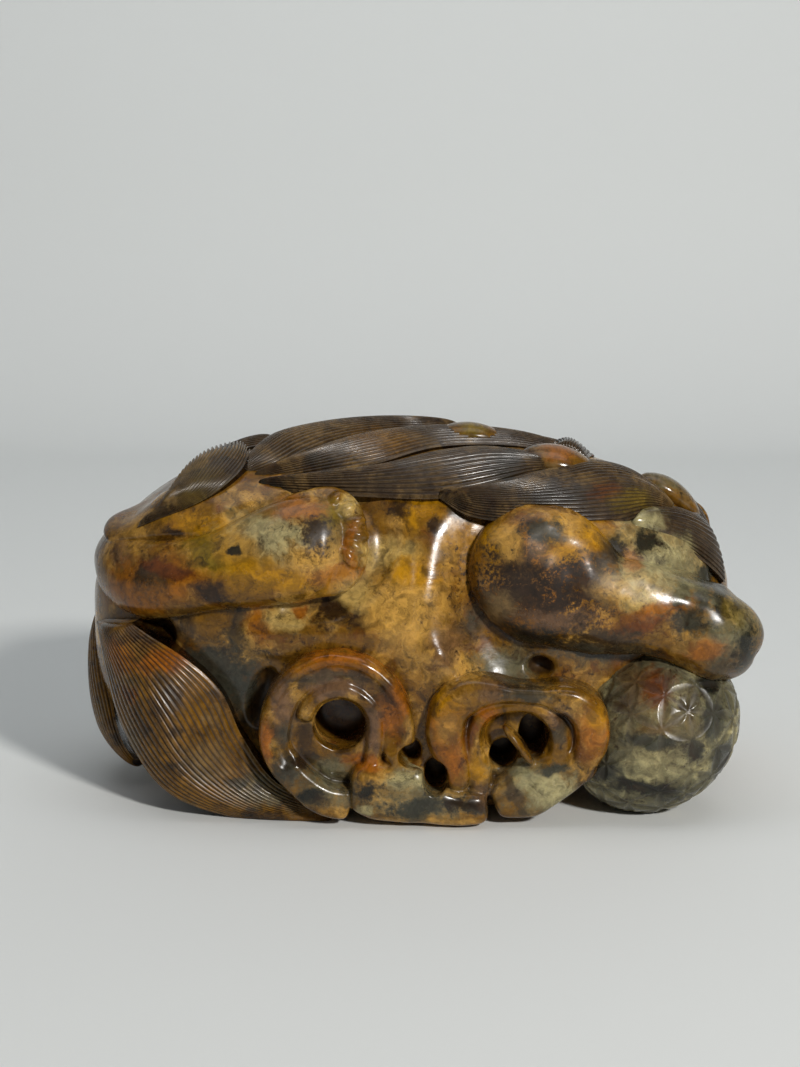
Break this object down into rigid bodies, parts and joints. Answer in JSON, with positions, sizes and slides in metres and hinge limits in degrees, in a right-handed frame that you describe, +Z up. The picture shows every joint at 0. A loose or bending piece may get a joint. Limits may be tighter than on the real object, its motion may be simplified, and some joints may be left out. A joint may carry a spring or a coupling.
{
  "type": "jade boulder carving",
  "caption": "Recumbent mythical lion with a brocade ball and a scrolling ribbon, carved in the round from a mottled jade boulder.",
  "frame": {"origin": "middle of the base, at the height of the surface that the carving stands on", "axes": "+X along the animal towards the forepaw and the ball, +Y towards the far side, +Z up"},
  "size_m": [0.1478, 0.084, 0.0814],
  "materials": {
    "jade": "polished stone, mottled amber, cream and grey-green"
  },
  "bodies": {
    "root": {"lion_carving": "jade"}
  },
  "joints": []
}
